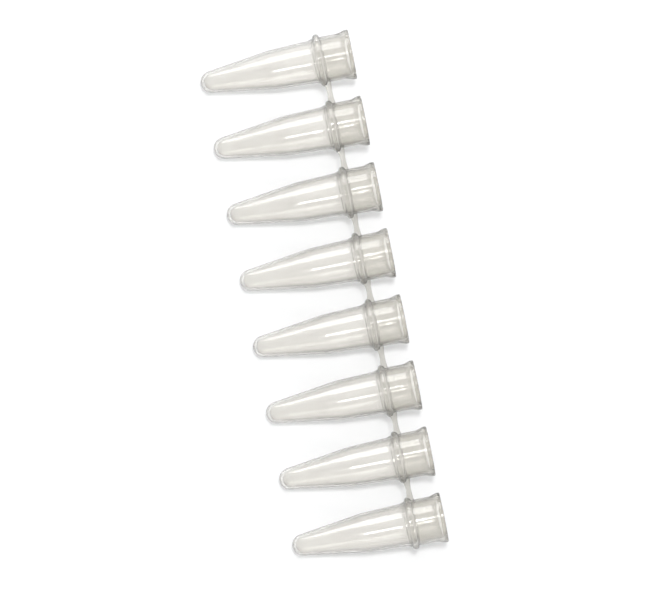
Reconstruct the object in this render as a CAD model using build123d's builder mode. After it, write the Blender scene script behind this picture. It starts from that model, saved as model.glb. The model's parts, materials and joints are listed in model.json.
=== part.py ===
"""Strip of eight 0.2 ml thin-walled tubes, moulded in one piece, lying on its side.

The strip rests on the flange rings and on the tops of the cones. X runs along the strip, the mouths
point to -Y and a little up, and the origin is under the middle of the strip, on the surface it lies on.
Depths are measured down a tube's axis from its mouth. Sizes are in millimetres.
"""

import os
from math import acos, asin, atan2, cos, degrees, hypot, radians, sin, sqrt, tan

from build123d import *

# The row
tube_count = 8
pitch = 9.0

# Cap seat: the straight bore that a cap's plug presses into
seat_bore = 5.44
seat_depth = 4.9
lead_in_width = 0.22
lead_in_depth = 0.45

# Collar: the thicker wall round the seat, with its lip and flange ring
neck_wall = 0.36
lip_overhang = 0.28
lip_round = 0.15
lip_height = 0.5
lip_foot_depth = 1.4
ring_bulge = 0.45
ring_depth = 4.4
shoulder_depth = 5.5

# Body: a nearly straight upper stretch, then a cone down to the rounded tip
body_wall = 0.3
seat_step = 0.15
seat_foot_depth = 5.5
body_draft = 2.4
cone_depth = 10.8
tube_length = 20.6
tip_radius = 1.45
tip_wall = 0.4

# Links between neighbouring tubes
link_depth = 3.95
link_thickness = 0.7
link_width = 1.8
link_edge_round = 0.15
link_top_sweep = 9.0
link_foot_sweep = 4.0
link_overlap = 0.5

# Turn about a tube's axis, from the strip's own direction, at which its round faces start and close
seam_turn = 65.0

# Radii that follow from the sizes above
seat_radius = seat_bore / 2
mouth_radius = seat_radius + lead_in_width
neck_radius = seat_radius + neck_wall
lip_radius = neck_radius + lip_overhang
well_radius = seat_radius - seat_step
body_radius = well_radius + body_wall
cone_radius = body_radius - (cone_depth - shoulder_depth) * tan(radians(body_draft))
well_tip_radius = tip_radius - body_wall
tip_centre_depth = tube_length - tip_radius
well_tip_centre_depth = tube_length - tip_wall - well_tip_radius
link_reach = pitch / 2 - seat_radius + link_overlap


def cone_foot_angle(top_radius, top_depth, ball_radius, ball_depth):
    """Angle from the ball's centre to the point where a cone from the given top touches the ball."""
    rise = ball_depth - top_depth
    return degrees(atan2(rise, top_radius) - acos(ball_radius / hypot(top_radius, rise)))


def on_ball(ball_radius, ball_depth, angle):
    """Point of the axial plane on a ball that is centred on the axis."""
    return (ball_radius * cos(radians(angle)), -ball_depth + ball_radius * sin(radians(angle)))


def slope_onto(edge_depth, edge_radius, edge_round):
    """Slope of the axes when the rings and a lower edge of the body both touch the surface.

    The edge is a circle round the axis, rounded by edge_round, as the ring is by its bulge, so
    (edge_depth - ring_depth) sin t + (edge_radius - neck_radius) cos t = ring_bulge - edge_round.
    """
    span = edge_depth - ring_depth
    drop = edge_radius - neck_radius
    return asin((ring_bulge - edge_round) / hypot(span, drop)) - atan2(drop, span)


# Rest: the axes slope down from the rings until the tops of the cones or the tips touch
rest_slope = min(slope_onto(tip_centre_depth, 0, tip_radius), slope_onto(cone_depth, cone_radius, 0))
mouth_height = neck_radius * cos(rest_slope) + ring_bulge + ring_depth * sin(rest_slope)
mouth_reach = lip_round + (lip_radius - lip_round) * sin(rest_slope) - lip_round * cos(rest_slope)
row_depth = mouth_reach + tip_centre_depth * cos(rest_slope) + tip_radius

# The mouths' plane: local x runs along the strip and local z out of the mouths
mouth_plane = Plane(
    origin=(0, mouth_reach - row_depth / 2, mouth_height),
    x_dir=(1, 0, 0),
    z_dir=(0, -cos(rest_slope), sin(rest_slope)),
)
axial_plane = Plane(mouth_plane.origin, x_dir=mouth_plane.x_dir, z_dir=-mouth_plane.y_dir)
tube_axis = Axis(mouth_plane.origin, mouth_plane.z_dir)
seam_plane = Plane(axial_plane.location * Rotation(0, seam_turn, 0))

# Outside of one tube
tip_angle = cone_foot_angle(cone_radius, cone_depth, tip_radius, tip_centre_depth)
with BuildPart() as tube_outside:
    with BuildSketch(seam_plane):
        with BuildLine():
            Line((0, 0), (lip_radius - lip_round, 0))
            CenterArc((lip_radius - lip_round, -lip_round), lip_round, 90, -90)
            Polyline(
                (lip_radius, -lip_round),
                (lip_radius, -lip_height),
                (neck_radius, -lip_foot_depth),
                (neck_radius, -ring_depth + ring_bulge),
            )
            CenterArc((neck_radius, -ring_depth), ring_bulge, 90, -180)
            Polyline(
                (neck_radius, -ring_depth - ring_bulge),
                (body_radius, -shoulder_depth),
                (cone_radius, -cone_depth),
                on_ball(tip_radius, tip_centre_depth, tip_angle),
            )
            CenterArc((0, -tip_centre_depth), tip_radius, tip_angle, -90 - tip_angle)
            Line((0, -tube_length), (0, 0))
        make_face()
    revolve(axis=tube_axis)

# Inside of one tube: lead-in, cap seat and well, running on past the mouth
well_angle = cone_foot_angle(
    cone_radius - body_wall, cone_depth, well_tip_radius, well_tip_centre_depth
)
with BuildPart() as tube_inside:
    with BuildSketch(seam_plane):
        with BuildLine():
            Polyline(
                (0, lead_in_depth),
                (mouth_radius, lead_in_depth),
                (mouth_radius, 0),
                (seat_radius, -lead_in_depth),
                (seat_radius, -seat_depth),
                (well_radius, -seat_foot_depth),
                (cone_radius - body_wall, -cone_depth),
                on_ball(well_tip_radius, well_tip_centre_depth, well_angle),
            )
            CenterArc((0, -well_tip_centre_depth), well_tip_radius, well_angle, -90 - well_angle)
            Line((0, -well_tip_centre_depth - well_tip_radius), (0, lead_in_depth))
        make_face()
    revolve(axis=tube_axis)

# One link, centred between two tubes: a flat bar that thickens in shallow arcs towards both
link_top = link_thickness / 2 - link_depth
link_foot = -link_thickness / 2 - link_depth
link_corner_top = link_top + link_top_sweep - sqrt(link_top_sweep**2 - link_reach**2)
link_corner_foot = link_foot - link_foot_sweep + sqrt(link_foot_sweep**2 - link_reach**2)
with BuildPart() as link:
    with BuildSketch(axial_plane):
        with BuildLine():
            ThreePointArc((-link_reach, link_corner_top), (0, link_top), (link_reach, link_corner_top))
            Line((link_reach, link_corner_top), (link_reach, link_corner_foot))
            ThreePointArc((link_reach, link_corner_foot), (0, link_foot), (-link_reach, link_corner_foot))
            Line((-link_reach, link_corner_foot), (-link_reach, link_corner_top))
        make_face()
    extrude(amount=link_width / 2, both=True)
    fillet(link.edges().filter_by(GeomType.CIRCLE), link_edge_round)

# The whole moulding
with BuildPart() as tube_strip:
    with GridLocations(pitch, pitch, tube_count, 1):
        add(tube_outside.part)
    with GridLocations(pitch, pitch, tube_count - 1, 1):
        add(link.part)
    with GridLocations(pitch, pitch, tube_count, 1):
        add(tube_inside.part, mode=Mode.SUBTRACT)

tube_strip.part.label = "tube_strip"
os.makedirs("parts", exist_ok=True)
export_step(tube_strip.part, "parts/tube_strip.step")
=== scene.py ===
"""A strip of eight thin-walled polypropylene tubes lying on a pale table, seen square on from above."""

import json

import bpy
import numpy as np
from mathutils import Matrix, Vector


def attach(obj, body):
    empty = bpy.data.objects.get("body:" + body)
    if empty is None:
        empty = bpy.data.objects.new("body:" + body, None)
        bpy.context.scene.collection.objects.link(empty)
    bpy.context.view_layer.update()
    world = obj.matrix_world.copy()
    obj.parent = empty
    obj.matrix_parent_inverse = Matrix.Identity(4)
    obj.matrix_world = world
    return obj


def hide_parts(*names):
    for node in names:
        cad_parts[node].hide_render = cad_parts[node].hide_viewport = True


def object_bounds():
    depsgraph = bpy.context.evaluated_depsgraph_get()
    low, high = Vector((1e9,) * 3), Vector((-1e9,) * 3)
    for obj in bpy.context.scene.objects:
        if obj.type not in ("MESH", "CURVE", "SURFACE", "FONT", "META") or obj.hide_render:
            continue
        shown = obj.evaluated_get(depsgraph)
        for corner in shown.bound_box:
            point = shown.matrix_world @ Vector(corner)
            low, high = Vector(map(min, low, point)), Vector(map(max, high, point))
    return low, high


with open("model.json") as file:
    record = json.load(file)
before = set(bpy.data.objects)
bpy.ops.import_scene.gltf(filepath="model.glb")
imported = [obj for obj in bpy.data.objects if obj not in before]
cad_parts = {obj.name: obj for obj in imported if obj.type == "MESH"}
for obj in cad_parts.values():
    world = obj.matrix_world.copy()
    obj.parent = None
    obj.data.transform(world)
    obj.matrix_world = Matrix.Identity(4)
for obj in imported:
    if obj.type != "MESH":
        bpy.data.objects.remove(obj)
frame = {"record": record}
cad_low, cad_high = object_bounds()

# Moulding, in metres: depths run down a tube's axis from its mouth. The ring reaches 0.005 mm less far
# than the neck and the bulge together, so that the strip stays inside its CAD box.
MM = 0.001
NECK_RADIUS = 3.08 * MM
LIP_RADIUS = 3.36 * MM
LIP_HEIGHT = 0.5 * MM
LIP_FOOT_DEPTH = 1.4 * MM
RING_BULGE = 0.45 * MM
RING_RADIUS = 3.525 * MM
RING_DEPTH = 4.4 * MM
SHOULDER_DEPTH = 5.5 * MM
BODY_RADIUS = 2.87 * MM
BODY_WALL = 0.3 * MM
CONE_RADIUS = 2.648 * MM
CONE_DEPTH = 10.8 * MM
TIP_RADIUS = 1.45 * MM
TIP_WALL = 0.4 * MM
TUBE_LENGTH = 20.6 * MM
SEAT_DEPTH = 4.9 * MM
LEAD_IN_WIDTH = 0.22 * MM
LEAD_IN_DEPTH = 0.45 * MM
WELL_RADIUS = 2.57 * MM
WELL_DEPTH = 5.5 * MM
LINK_DEPTH = 3.95 * MM
LINK_THICKNESS = 0.7 * MM
LINK_WIDTH = 1.8 * MM
LINK_ROUND = 0.15 * MM
LINK_TOP_SWEEP = 9.0 * MM
LINK_FOOT_SWEEP = 4.0 * MM

# Roundings of the tube's edges
CREASE_ROUND = 0.03 * MM
MOUTH_ROUND = 0.06 * MM
RIM_ROUND = 0.15 * MM
LEAD_IN_ROUND = 0.2 * MM
LIP_ROUND = 0.4 * MM
WALL_ROUND = 0.5 * MM
LIP_FOOT_ROUND = 1.0 * MM
CONE_ROUND = 6.0 * MM

# Mesh: the turn of one step along an arc, the longest step along a wall, the columns across a link and
# across the side between two links, and the steps along a link
CREASE_STEP = np.radians(30)
EDGE_STEP = np.radians(10)
BALL_STEP = np.radians(8)
LONGEST_STEP = 1.5 * MM
ZONE_COLUMNS = 12
SIDE_COLUMNS = 26
LINK_STEPS = 14

# Mesh: how far beside a link's edge the nearest rows and columns run: a length down the wall, a share of
# the way round the side between two links, and a share of the way along a link
WALL_SUPPORT = 0.05 * MM
SIDE_SUPPORT = 0.012
LINK_SUPPORT = 0.024

# Mesh: a length too small to count, and the rounds in which a link's end settles on the wall
NO_LENGTH = 1e-9
SETTLING_ROUNDS = 8

# Finish of the plastic
FLOW_SCALE = 420
GRAIN_SCALE = 2600
GRAIN_DEPTH = 0.02 * MM
CLOUD_EDGE = 0.2 * MM
DEEP_TINT = (0.945, 0.93, 0.905, 1)
PALE_TINT = (0.965, 0.952, 0.93, 1)
COLLAR_TINT = (0.9, 0.897, 0.88, 1)
LIP_TINT = (0.88, 0.875, 0.86, 1)
# Painted shade of the tubes' outlines: the colour seen square on, and the dark grey seen edge on
PAINTED_SHADE_SQUARE_ON = (0.99, 0.99, 0.985, 1)
PAINTED_SHADE_EDGE_ON = (0.06, 0.06, 0.055, 1)
HAZE_COLOUR = (0.5, 0.495, 0.47, 1)

# Table and room
TABLE_REACH = 1.5
TABLE_SHADE = (0.945, 0.945, 0.945, 1)
TABLE_LIGHT = (0.96, 0.96, 0.96, 1)
ROOM_COLOUR = (0.98, 0.985, 1.0, 1)

# The tubes' mouths, from the record's mounts: one in the middle of each cap seat
mounts = sorted(frame["record"]["mounts"], key=lambda mount: mount["pos_m"][0])
TUBE_COUNT = len(mounts)
SEAT_RADIUS = mounts[0]["dims"]["r_mm"] * MM
SEAT_LENGTH = mounts[0]["dims"]["length_mm"] * MM
out_of_mouth = np.array(mounts[0]["axis"])
along_strip = np.array([1.0, 0.0, 0.0])
square_to_both = np.cross(out_of_mouth, along_strip)
seat_middles = np.array([mount["pos_m"] for mount in mounts])
mouths = seat_middles + out_of_mouth * (LEAD_IN_DEPTH + SEAT_LENGTH / 2)
PITCH = mouths[1, 0] - mouths[0, 0]


def make_camera(width, lean, lens):
    """Camera that looks from above, square to the strip and to its tubes, at the middle of the CAD box.

    The view's up is the strip's own direction turned by the lean towards the mouths, so that the strip
    leans towards its tips. Width is what the view spans at the strip.
    """
    up = np.cos(lean) * along_strip + np.sin(lean) * out_of_mouth
    right = np.cos(lean) * out_of_mouth - np.sin(lean) * along_strip
    data = bpy.data.cameras.new("camera")
    data.lens = lens
    data.sensor_width = 36
    data.clip_start = 0.01
    data.clip_end = 10
    middle = np.array((cad_low + cad_high) / 2)
    place = middle + square_to_both * width * data.lens / data.sensor_width
    stance = np.eye(4)
    stance[:3] = np.stack([right, up, square_to_both, place], axis=1)
    camera = bpy.data.objects.new("camera", data)
    camera.matrix_world = Matrix(stance)
    bpy.context.scene.collection.objects.link(camera)
    bpy.context.scene.camera = camera


make_camera(width=0.0866, lean=np.radians(11.2), lens=200)


def round_off(corners):
    """Outline through corners (radius, depth, rounding), each rounded by an arc that touches both its runs.

    With p and q the unit vectors from a corner to its neighbours and t half the angle between them, the
    arc's centre is the corner plus (p + q) / |p + q| * rounding / sin t, and the arc spans pi - 2 t.
    """
    points = np.array([corner[:2] for corner in corners])
    roundings = [corner[2] for corner in corners[1:-1]]
    pieces = [points[:1]]
    for before, corner, after, rounding in zip(points[:-2], points[1:-1], points[2:], roundings):
        p = (before - corner) / np.linalg.norm(before - corner)
        q = (after - corner) / np.linalg.norm(after - corner)
        half = np.arccos(p @ q) / 2
        middle = (p + q) / np.linalg.norm(p + q)
        side = (q - p) / np.linalg.norm(q - p)
        step = CREASE_STEP if rounding <= CREASE_ROUND else EDGE_STEP
        steps = max(2, int(np.ceil((np.pi - 2 * half) / step)))
        swing = np.linspace(half - np.pi / 2, np.pi / 2 - half, steps + 1)[:, None]
        centre = corner + middle * rounding / np.sin(half)
        pieces.append(centre - rounding * (np.cos(swing) * middle - np.sin(swing) * side))
    return np.concatenate(pieces + [points[-1:]])


def ball(radius, centre_depth, start, stop):
    """Arc (radius cos a, centre depth + radius sin a) of a ball on the axis, for a from start to stop."""
    angle = np.linspace(start, stop, int(np.ceil(abs(stop - start) / BALL_STEP)) + 1)
    return np.stack([radius * np.cos(angle), centre_depth + radius * np.sin(angle)], axis=1)


def cone_foot(top_radius, top_depth, ball_radius, ball_depth):
    """Angle below the horizontal at which a cone from the given top touches a ball on the axis.

    With h the rise from the cone's top to the ball's centre and r the top's radius, it is
    acos(ball radius / sqrt(r^2 + h^2)) - atan(h / r).
    """
    rise = ball_depth - top_depth
    return np.arccos(ball_radius / np.hypot(top_radius, rise)) - np.arctan2(rise, top_radius)


def cut_long_runs(outline):
    """Outline with each run cut into equal steps no longer than LONGEST_STEP."""
    runs = np.linalg.norm(np.diff(outline, axis=0), axis=1)
    counts = np.ceil(runs / LONGEST_STEP).astype(int)
    place = np.repeat(np.arange(len(runs)), counts)
    step = np.arange(len(place)) - np.repeat(np.cumsum(counts) - counts, counts)
    share = (step / counts[place])[:, None]
    points = outline[:-1][place] * (1 - share) + outline[1:][place] * share
    return np.concatenate([points, outline[-1:]])


def tube_outline():
    """Outline (radius, depth) of one tube: up the outside from the tip, over the mouth, down the well."""
    tip_depth = TUBE_LENGTH - TIP_RADIUS
    well_tip_radius = TIP_RADIUS - BODY_WALL
    well_tip_depth = TUBE_LENGTH - TIP_WALL - well_tip_radius
    well_cone_radius = CONE_RADIUS - BODY_WALL
    outer_foot = cone_foot(CONE_RADIUS, CONE_DEPTH, TIP_RADIUS, tip_depth)
    inner_foot = cone_foot(well_cone_radius, CONE_DEPTH, well_tip_radius, well_tip_depth)
    tip = ball(TIP_RADIUS, tip_depth, np.pi / 2, outer_foot)
    well_tip = ball(well_tip_radius, well_tip_depth, inner_foot, np.pi / 2)
    ring_round = RING_RADIUS - NECK_RADIUS - CREASE_ROUND
    walls = round_off([
        (*tip[-1],),
        (CONE_RADIUS, CONE_DEPTH, CONE_ROUND),
        (BODY_RADIUS, SHOULDER_DEPTH, WALL_ROUND),
        (NECK_RADIUS, RING_DEPTH + RING_BULGE, CREASE_ROUND),
        (RING_RADIUS, RING_DEPTH + RING_BULGE, ring_round),
        (RING_RADIUS, RING_DEPTH - RING_BULGE, ring_round),
        (NECK_RADIUS, RING_DEPTH - RING_BULGE, CREASE_ROUND),
        (NECK_RADIUS, LIP_FOOT_DEPTH, LIP_FOOT_ROUND),
        (LIP_RADIUS, LIP_HEIGHT, LIP_ROUND),
        (LIP_RADIUS, 0, RIM_ROUND),
        (SEAT_RADIUS + LEAD_IN_WIDTH, 0, MOUTH_ROUND),
        (SEAT_RADIUS, LEAD_IN_DEPTH, LEAD_IN_ROUND),
        (SEAT_RADIUS, SEAT_DEPTH, WALL_ROUND),
        (WELL_RADIUS, WELL_DEPTH, WALL_ROUND),
        (well_cone_radius, CONE_DEPTH, CONE_ROUND),
        (*well_tip[0],),
    ])
    outline = np.concatenate([tip[:-1], walls, well_tip[1:]])
    apart = np.linalg.norm(np.diff(outline, axis=0), axis=1) > NO_LENGTH
    return cut_long_runs(outline[np.append(True, apart)])


def with_rows(outline, depths):
    """Outline with a point at each of the depths, on the outside below the lip.

    A point of the outline closer than half of WALL_SUPPORT moves there instead.
    """
    outline = outline.copy()
    for depth in depths:
        last = np.flatnonzero((outline[:, 0] > BODY_RADIUS) & (outline[:, 1] > depth)).max()
        (r0, d0), (r1, d1) = outline[last:last + 2]
        point = [r0 + (depth - d0) / (d1 - d0) * (r1 - r0), depth]
        near = np.linalg.norm(outline[last:last + 2] - point, axis=1) < WALL_SUPPORT / 2
        if near.any():
            outline[last + np.argmax(near)] = point
        else:
            outline = np.insert(outline, last + 1, point, axis=0)
    return outline


def link_faces(x):
    """Depths of a link's top and foot at x from a tube's axis.

    Both are arcs centred midway between the tubes: depth = middle -+ (sweep - sqrt(sweep^2 - off^2)).
    """
    off = PITCH / 2 - x
    top = LINK_DEPTH - LINK_THICKNESS / 2 - LINK_TOP_SWEEP + np.sqrt(LINK_TOP_SWEEP**2 - off**2)
    foot = LINK_DEPTH + LINK_THICKNESS / 2 + LINK_FOOT_SWEEP - np.sqrt(LINK_FOOT_SWEEP**2 - off**2)
    return top, foot


def link_section(x, height, share):
    """Point (height, depth) of a link's section at x, share of the way from its top to its foot.

    Within the rounding of a corner the point is drawn in along the line to the rounding's centre.
    """
    top, foot = link_faces(x)
    depth = top + share * (foot - top)
    reach = LINK_WIDTH / 2 - LINK_ROUND
    core_height = np.clip(height, -reach, reach)
    core_depth = np.clip(depth, top + LINK_ROUND, foot - LINK_ROUND)
    gap = np.hypot(height - core_height, depth - core_depth)
    pull = np.where(gap > 0, LINK_ROUND / np.maximum(gap, NO_LENGTH), 0)
    return core_height + (height - core_height) * pull, core_depth + (depth - core_depth) * pull


def tube_rows():
    """Outline of one tube with rows where a link's top and foot meet it, and a row on each side of both.

    The meeting is taken halfway between the link's middle and its side. Returns (outline, near, row of
    the foot, row of the top). Near is true on the outside from just above the top to the ring's foot.
    """
    wall_x = np.sqrt(NECK_RADIUS**2 - (LINK_WIDTH / 4) ** 2)
    top = link_faces(wall_x)[0]
    foot = link_faces(wall_x + RING_BULGE)[1]
    depths = [face + step for face in (top, foot) for step in (-WALL_SUPPORT, 0, WALL_SUPPORT)]
    outline = with_rows(tube_outline(), depths)
    depth = outline[:, 1]
    outside = np.arange(len(outline)) < np.argmin(depth)
    near = outside & (depth > top - 2 * WALL_SUPPORT) & (depth < RING_DEPTH + RING_BULGE)
    row_foot = np.argmin(np.where(outside, abs(depth - foot), np.inf))
    row_top = np.argmin(np.where(outside, abs(depth - top), np.inf))
    return outline, near, row_foot, row_top


def tube_grid(outline, near):
    """Surface of revolution (radius cos a, radius sin a, depth), a row for each point of the outline.

    Towards each neighbour the columns keep a constant height: a = asin(height / radius) near the links.
    Returns (points by row and column, those heights).
    """
    radius, depth = outline.T
    steady = np.where(near, np.maximum(radius, NECK_RADIUS), NECK_RADIUS)[:, None]
    heights = LINK_WIDTH / 2 * np.sin(np.linspace(-np.pi / 2, np.pi / 2, ZONE_COLUMNS + 1))
    zone = np.arcsin(heights / steady)
    edge = zone[:, -1:]
    share = np.linspace(SIDE_SUPPORT, 1 - SIDE_SUPPORT, SIDE_COLUMNS - 1)
    side = edge + share * (np.pi - 2 * edge)
    angle = np.concatenate([zone, side, np.pi + zone, np.pi + side], axis=1)
    across = np.stack([np.cos(angle), np.sin(angle)], axis=2) * radius[:, None, None]
    down = np.broadcast_to(depth[:, None, None], (*angle.shape, 1))
    return np.concatenate([across, down], axis=2), heights


def link_grid(outline, near, heights, row_foot, row_top):
    """Loop where a link runs into a tube's wall, and the link's own surface from there to the next tube.

    Each point lies on the link's section at its x and on the tube, x = sqrt(radius^2 - height^2), and is
    found by putting each into the other in turn. Returns (rows, columns, points, the link's grid).
    """
    between = np.arange(row_foot + 1, row_top)
    columns = np.arange(ZONE_COLUMNS + 1)
    rows = np.concatenate([0 * columns + row_foot, between, 0 * columns + row_top, between[::-1]])
    cols = np.concatenate([columns, 0 * between + ZONE_COLUMNS, columns[::-1], 0 * between])
    on_top, on_foot = rows == row_top, rows == row_foot
    radius, depth = outline[rows].T
    height = heights[cols]
    x = np.sqrt(radius**2 - height**2)
    top, foot = link_faces(x)
    share = np.where(on_top, 0, np.where(on_foot, 1, (depth - top) / (foot - top)))
    wall_radius, wall_depth = outline[near][::-1].T
    for _ in range(SETTLING_ROUNDS):
        bent_height, bent_depth = link_section(x, height, share)
        moved = on_top | on_foot | (abs(bent_height) < abs(height) - NO_LENGTH)
        at_height = np.where(moved, bent_height, height)
        at_depth = np.where(moved, bent_depth, depth)
        at_radius = np.where(moved, np.interp(bent_depth, wall_depth, wall_radius), radius)
        x = np.sqrt(at_radius**2 - at_height**2)
    step = np.linspace(LINK_SUPPORT, 1 - LINK_SUPPORT, LINK_STEPS - 1)[:, None]
    along = x + (PITCH - 2 * x) * step
    link = np.stack([along, *link_section(along, height, share)], axis=2)
    return rows, cols, np.stack([x, at_height, at_depth], axis=1), link


def grid_faces(rows, cols):
    """Faces of a grid that closes round on itself: its cells by row and column, and a fan at each pole.

    All points of the first and of the last row lie on a pole, and a fan uses the first of them.
    """
    row, column = np.meshgrid(np.arange(1, rows - 2), np.arange(cols), indexing="ij")
    beside = (column + 1) % cols
    here, onward = row * cols, (row + 1) * cols
    cells = np.stack([here + column, here + beside, onward + beside, onward + column], axis=2)
    column, beside = column[0], beside[0]
    pole = (rows - 1) * cols
    fans = np.concatenate([
        np.stack([0 * column, beside + cols, column + cols], axis=1),
        np.stack([0 * column + pole, column + pole - cols, beside + pole - cols], axis=1),
    ])
    return cells, fans


def ring_faces(rings):
    """Cells between closed rings of points, from each ring to the next."""
    turned = np.roll(rings, -1, axis=1)
    return np.stack([rings[:-1], turned[:-1], turned[1:], rings[1:]], axis=2).reshape(-1, 4)


def drop_unused(points, quads, triangles):
    """Points that a face uses, and the faces numbered anew."""
    used, place = np.unique(np.concatenate([quads.ravel(), triangles.ravel()]), return_inverse=True)
    return points[used], place[:quads.size].reshape(-1, 4), place[quads.size:].reshape(-1, 3)


def moulding():
    """Closed surface of the whole strip. Returns (points, faces of four, faces of three).

    The tubes are surfaces of revolution with a window in the wall at each end of a link, and the link's
    surface is carried from window to window.
    """
    outline, near, row_foot, row_top = tube_rows()
    tube, heights = tube_grid(outline, near)
    loop_rows, loop_cols, loop_points, link = link_grid(outline, near, heights, row_foot, row_top)
    rows, cols = tube.shape[:2]
    tube_size = rows * cols
    link_size = link.shape[0] * link.shape[1]
    cells, fans = grid_faces(rows, cols)
    behind = ZONE_COLUMNS + SIDE_COLUMNS
    far_cols = behind + ZONE_COLUMNS - loop_cols
    window = np.zeros(cells.shape[:2], bool)
    far_window = window.copy()
    window[row_foot - 1:row_top - 1, :ZONE_COLUMNS] = True
    far_window[row_foot - 1:row_top - 1, behind:behind + ZONE_COLUMNS] = True

    points, quads, triangles = [], [], []
    for number in range(TUBE_COUNT):
        own = tube.copy()
        cut = np.zeros_like(window)
        if number < TUBE_COUNT - 1:
            own[loop_rows, loop_cols] = loop_points
            cut |= window
        if number > 0:
            own[loop_rows, far_cols] = loop_points * [-1, 1, 1]
            cut |= far_window
        points.append(own.reshape(-1, 3) + [number * PITCH, 0, 0])
        quads.append(cells[~cut] + number * tube_size)
        triangles.append(fans + number * tube_size)
    for number in range(TUBE_COUNT - 1):
        first = number * tube_size + loop_rows * cols + loop_cols
        last = (number + 1) * tube_size + loop_rows * cols + far_cols
        inner = TUBE_COUNT * tube_size + number * link_size + np.arange(link_size)
        points.append(link.reshape(-1, 3) + [number * PITCH, 0, 0])
        quads.append(ring_faces(np.concatenate([[first], inner.reshape(link.shape[:2]), [last]])))
    points, quads, triangles = drop_unused(*map(np.concatenate, (points, quads, triangles)))
    across, height, depth = points.T[:, :, None]
    world = mouths[0] + across * along_strip + height * square_to_both - depth * out_of_mouth
    return world, quads, triangles


def make_mesh(name, points, quads, triangles):
    """Smooth-shaded mesh object at the origin."""
    mesh = bpy.data.meshes.new(name)
    corners = np.concatenate([triangles.ravel(), quads.ravel()]).astype(np.int32)
    sizes = np.concatenate([np.full(len(triangles), 3), np.full(len(quads), 4)])
    mesh.vertices.add(len(points))
    mesh.vertices.foreach_set("co", points.astype(np.float32).ravel())
    mesh.loops.add(len(corners))
    mesh.loops.foreach_set("vertex_index", corners)
    mesh.polygons.add(len(sizes))
    mesh.polygons.foreach_set("loop_start", (np.cumsum(sizes) - sizes).astype(np.int32))
    mesh.update(calc_edges=True)
    mesh.validate()
    mesh.shade_smooth()
    made = bpy.data.objects.new(name, mesh)
    bpy.context.scene.collection.objects.link(made)
    return made


def node(tree, kind, **settings):
    """New node with its properties and unlinked inputs set by name."""
    made = tree.nodes.new(kind)
    for name, value in settings.items():
        if hasattr(made, name):
            setattr(made, name, value)
        else:
            made.inputs[name.replace("_", " ")].default_value = value
    return made


def feed(tree, socket, value):
    """Links a socket to another node's output, or sets its fixed value."""
    if isinstance(value, bpy.types.NodeSocket):
        tree.links.new(value, socket)
    else:
        socket.default_value = value


def new_material(name):
    """Material with no node but its output. Returns (material, node tree, output)."""
    material = bpy.data.materials.new(name)
    material.use_nodes = True
    material.node_tree.nodes.clear()
    return material, material.node_tree, material.node_tree.nodes.new("ShaderNodeOutputMaterial")


def noise(tree, coordinates, scale, detail):
    """Noise over the object's own coordinates."""
    made = node(tree, "ShaderNodeTexNoise", Scale=scale, Detail=detail)
    feed(tree, made.inputs["Vector"], coordinates.outputs["Object"])
    return made.outputs["Fac"]


def spread(tree, value, start, stop, low, high):
    """Number that runs from low to high as the value runs from start to stop."""
    made = node(tree, "ShaderNodeMapRange", From_Min=start, From_Max=stop, To_Min=low, To_Max=high)
    feed(tree, made.inputs["Value"], value)
    return made.outputs["Result"]


def blend_colours(tree, value, start, stop, first, second):
    """Colour that runs from the first to the second as the value runs from start to stop."""
    made = node(tree, "ShaderNodeValToRGB")
    for element, position, colour in zip(made.color_ramp.elements, (start, stop), (first, second)):
        element.position = position
        element.color = colour
    feed(tree, made.inputs["Fac"], value)
    return made.outputs["Color"]


def multiply_colours(tree, share, first, second):
    """First colour times the second, as far as the share from 0 to 1 says."""
    made = node(tree, "ShaderNodeMix", data_type="RGBA", blend_type="MULTIPLY")
    share_socket, first_socket, second_socket = made.inputs[0], made.inputs[6], made.inputs[7]
    feed(tree, share_socket, share)
    feed(tree, first_socket, first)
    feed(tree, second_socket, second)
    return made.outputs[2]


def paint_edge_shade(tree):
    """Painted shade: grey that deepens where the surface turns away from a ray, for dark outlines
    on the tubes and dark edges in their shadows.
    """
    turned_away = node(tree, "ShaderNodeLayerWeight", Blend=0.5).outputs["Facing"]
    return blend_colours(tree, turned_away, start=0.35, stop=1, first=PAINTED_SHADE_SQUARE_ON, second=PAINTED_SHADE_EDGE_ON)


def share_above(tree, coordinates, depth):
    """1 where a tube is nearer its mouth than the depth, 0 below it, with a short change between.

    The height along the tubes is the object's coordinates times the direction out of the mouths.
    """
    height = node(tree, "ShaderNodeVectorMath", operation="DOT_PRODUCT")
    feed(tree, height.inputs[0], coordinates.outputs["Object"])
    feed(tree, height.inputs[1], out_of_mouth)
    edge = mouths[0] @ out_of_mouth - depth
    return spread(tree, height.outputs["Value"], edge - CLOUD_EDGE, edge + CLOUD_EDGE, low=0, high=1)


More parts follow.
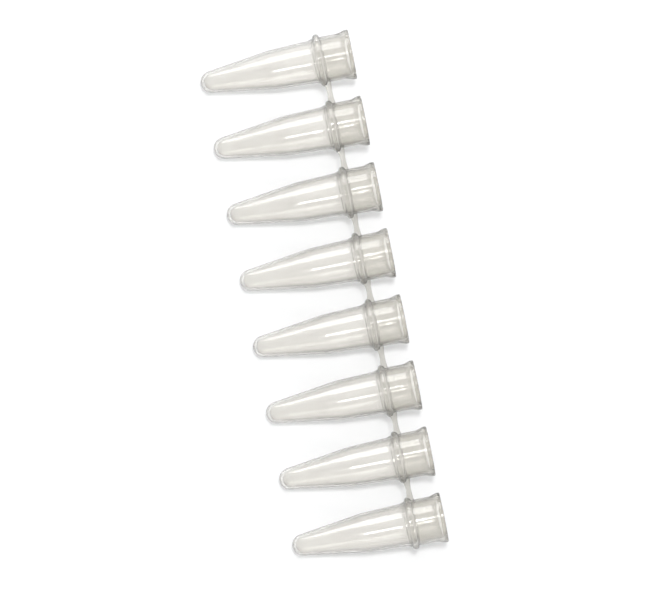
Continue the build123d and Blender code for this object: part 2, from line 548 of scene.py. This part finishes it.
def clear_polypropylene():
    """Natural moulded polypropylene: clear with a warm haze, cloudier in the thick collar and lip.

    A broad noise gives the faint differences of tint and gloss that the melt's flow leaves, and a fine
    one the grain. Painted shade darkens the colour at the tubes' outlines. Light that casts a shadow or
    comes off the table passes straight through, darkened by the same painted shade.
    """
    material, tree, output = new_material("clear_polypropylene")
    coordinates = node(tree, "ShaderNodeTexCoord")
    flow = noise(tree, coordinates, FLOW_SCALE, detail=3)
    grain = noise(tree, coordinates, GRAIN_SCALE, detail=2)
    # Painted shade: dark outlines where the surface turns edge on, for the plastic's colour and its shadows
    walls = paint_edge_shade(tree)
    tint = blend_colours(tree, flow, start=0.35, stop=0.65, first=DEEP_TINT, second=PALE_TINT)
    body = multiply_colours(tree, 1, tint, walls)
    in_collar = share_above(tree, coordinates, RING_DEPTH + RING_BULGE)
    in_lip = share_above(tree, coordinates, LIP_HEIGHT)
    collar = multiply_colours(tree, in_collar, body, COLLAR_TINT)
    clouded = multiply_colours(tree, in_lip, collar, LIP_TINT)
    roughness = spread(tree, flow, start=0.3, stop=0.7, low=0.05, high=0.11)
    bump = node(tree, "ShaderNodeBump", Strength=0.03, Distance=GRAIN_DEPTH)
    feed(tree, bump.inputs["Height"], grain)
    plastic = node(tree, "ShaderNodeBsdfPrincipled", IOR=1.49, Transmission_Weight=0.87)
    feed(tree, plastic.inputs["Base Color"], clouded)
    feed(tree, plastic.inputs["Roughness"], roughness)
    feed(tree, plastic.inputs["Normal"], bump.outputs["Normal"])

    straight_through = node(tree, "ShaderNodeBsdfTransparent")
    # Shadows pass through darkened by the painted edge shade, which paints dark edges into them
    feed(tree, straight_through.inputs["Color"], walls)
    path = node(tree, "ShaderNodeLightPath")
    surface = plastic.outputs["BSDF"]
    for ray in ("Is Shadow Ray", "Is Diffuse Ray"):
        mix = node(tree, "ShaderNodeMixShader")
        feed(tree, mix.inputs[0], path.outputs[ray])
        feed(tree, mix.inputs[1], surface)
        feed(tree, mix.inputs[2], straight_through.outputs["BSDF"])
        surface = mix.outputs["Shader"]
    haze = node(tree, "ShaderNodeVolumeAbsorption", Color=HAZE_COLOUR, Density=160)
    feed(tree, output.inputs["Surface"], surface)
    feed(tree, output.inputs["Volume"], haze.outputs["Volume"])
    return material


def pale_table():
    """Matt, nearly white table top with a faint mottle."""
    material, tree, output = new_material("pale_table_top")
    coordinates = node(tree, "ShaderNodeTexCoord")
    mottle = noise(tree, coordinates, scale=14, detail=3)
    shade = blend_colours(tree, mottle, start=0.35, stop=0.65, first=TABLE_SHADE, second=TABLE_LIGHT)
    top = node(tree, "ShaderNodeBsdfPrincipled", Roughness=0.6)
    feed(tree, top.inputs["Base Color"], shade)
    feed(tree, output.inputs["Surface"], top.outputs["BSDF"])
    return material


def add_floor():
    """Table top under the strip, at the height the CAD rests on."""
    corners = [(x * TABLE_REACH, y * TABLE_REACH, 0) for x, y in ((-1, -1), (1, -1), (1, 1), (-1, 1))]
    mesh = bpy.data.meshes.new("table_top")
    mesh.from_pydata(corners, [], [(0, 1, 2, 3)])
    mesh.materials.append(pale_table())
    floor = bpy.data.objects.new("table_top", mesh)
    bpy.context.scene.collection.objects.link(floor)


def add_panel(name, place, width, height, power, mirrored=True):
    """Soft white panel light that faces the strip, and may be left out of its reflections."""
    data = bpy.data.lights.new(name, "AREA")
    data.shape = "RECTANGLE"
    data.size = width
    data.size_y = height
    data.energy = power
    lamp = bpy.data.objects.new(name, data)
    lamp.visible_glossy = mirrored
    lamp.location = place
    lamp.rotation_euler = (-Vector(place)).to_track_quat("-Z", "Y").to_euler()
    bpy.context.scene.collection.objects.link(lamp)


def add_surroundings(dim, bright):
    """Soft light from the room around the table, dim at -X and bright at +X, the side of the key panel."""
    world = bpy.data.worlds.new("studio")
    world.use_nodes = True
    tree = world.node_tree
    direction = node(tree, "ShaderNodeTexCoord").outputs["Generated"]
    along = node(tree, "ShaderNodeSeparateXYZ")
    feed(tree, along.inputs["Vector"], direction)
    strength = spread(tree, along.outputs["X"], start=-1, stop=1, low=dim, high=bright)
    background = tree.nodes["Background"]
    feed(tree, background.inputs["Color"], ROOM_COLOUR)
    feed(tree, background.inputs["Strength"], strength)
    bpy.context.scene.world = world


strip = make_mesh("moulded_tube_strip", *moulding())
strip.data.materials.append(clear_polypropylene())
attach(strip, "root")
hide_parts("tube_strip")

add_floor()
add_surroundings(dim=0.3, bright=0.65)
add_panel("top_panel", place=(0.14, 0.03, 0.8), width=0.12, height=0.12, power=3.1, mirrored=False)
add_panel("key_panel", place=(1.3, 0.1, 0.7), width=0.9, height=0.9, power=12)
add_panel("fill_panel", place=(-0.6, 0.0, 0.6), width=0.3, height=0.6, power=0.4)
bpy.context.scene.view_settings.view_transform = "Standard"
